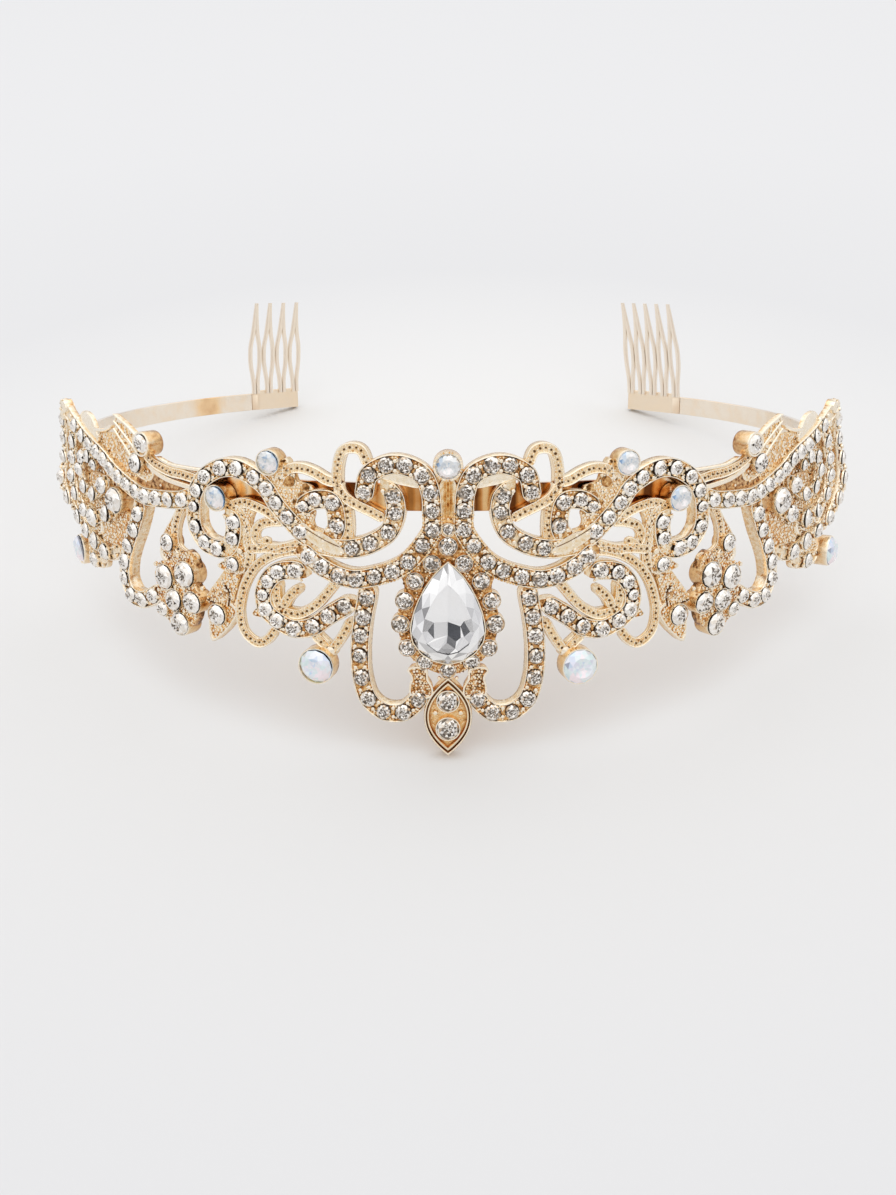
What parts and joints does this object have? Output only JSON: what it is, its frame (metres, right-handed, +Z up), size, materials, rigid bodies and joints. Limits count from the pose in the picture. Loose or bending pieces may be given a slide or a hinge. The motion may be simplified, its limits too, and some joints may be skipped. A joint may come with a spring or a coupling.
{
  "type": "rhinestone tiara",
  "caption": "Tiara with a curved, pierced gold scroll panel set with clear and rainbow-coated stones round a pear stone, on an open strip headband with a hair comb at each end.",
  "frame": {"origin": "on the table plane, under the centre of the headband's front arc, with the tiara lying as in the picture: upside down on the peak's tip and the band's two free ends", "axes": "+Z up from the table, -Y towards the front panel's face, +X to the right in the picture"},
  "size_m": [0.1403, 0.1379, 0.0452],
  "materials": {
    "casting_gold": "polished pale rose-gold plate, satin in the recesses",
    "band_gold": "polished pale rose-gold plate",
    "clear_stone": "cut, foil-backed",
    "rainbow_stone": "cut, with a rainbow coating"
  },
  "bodies": {
    "root": {"headband": "band_gold", "comb_left": "band_gold", "comb_right": "band_gold", "filigree": "casting_gold", "pear_stone": "clear_stone", "ab_top_stone": "rainbow_stone", "ab_side_stone_left": "rainbow_stone", "ab_side_stone_right": "rainbow_stone", "ab_curl_stone_left": "rainbow_stone", "ab_curl_stone_right": "rainbow_stone", "ab_drop_stone_left": "rainbow_stone", "ab_drop_stone_right": "rainbow_stone", "ab_wing_stone_left": "rainbow_stone", "ab_wing_stone_right": "rainbow_stone", "marquise_upper_stone": "clear_stone", "marquise_lower_stone": "clear_stone", "bezel_stone_left": "clear_stone", "bezel_stone_right": "clear_stone", "center_stones": "clear_stone", "halo_stones": "clear_stone", "arch_stones_left": "clear_stone", "arch_stones_right": "clear_stone", "wave_stones_left": "clear_stone", "wave_stones_right": "clear_stone", "loop_stones_left": "clear_stone", "loop_stones_right": "clear_stone", "scroll_stones_left": "clear_stone", "scroll_stones_right": "clear_stone", "leaf_stones_left": "clear_stone", "leaf_stones_right": "clear_stone", "flower_stones_left": "clear_stone", "flower_stones_right": "clear_stone", "wing_row_stones_left": "clear_stone", "wing_row_stones_right": "clear_stone", "wing_loop_stones_left": "clear_stone", "wing_loop_stones_right": "clear_stone", "wing_end_stones_left": "clear_stone", "wing_end_stones_right": "clear_stone"}
  },
  "joints": []
}
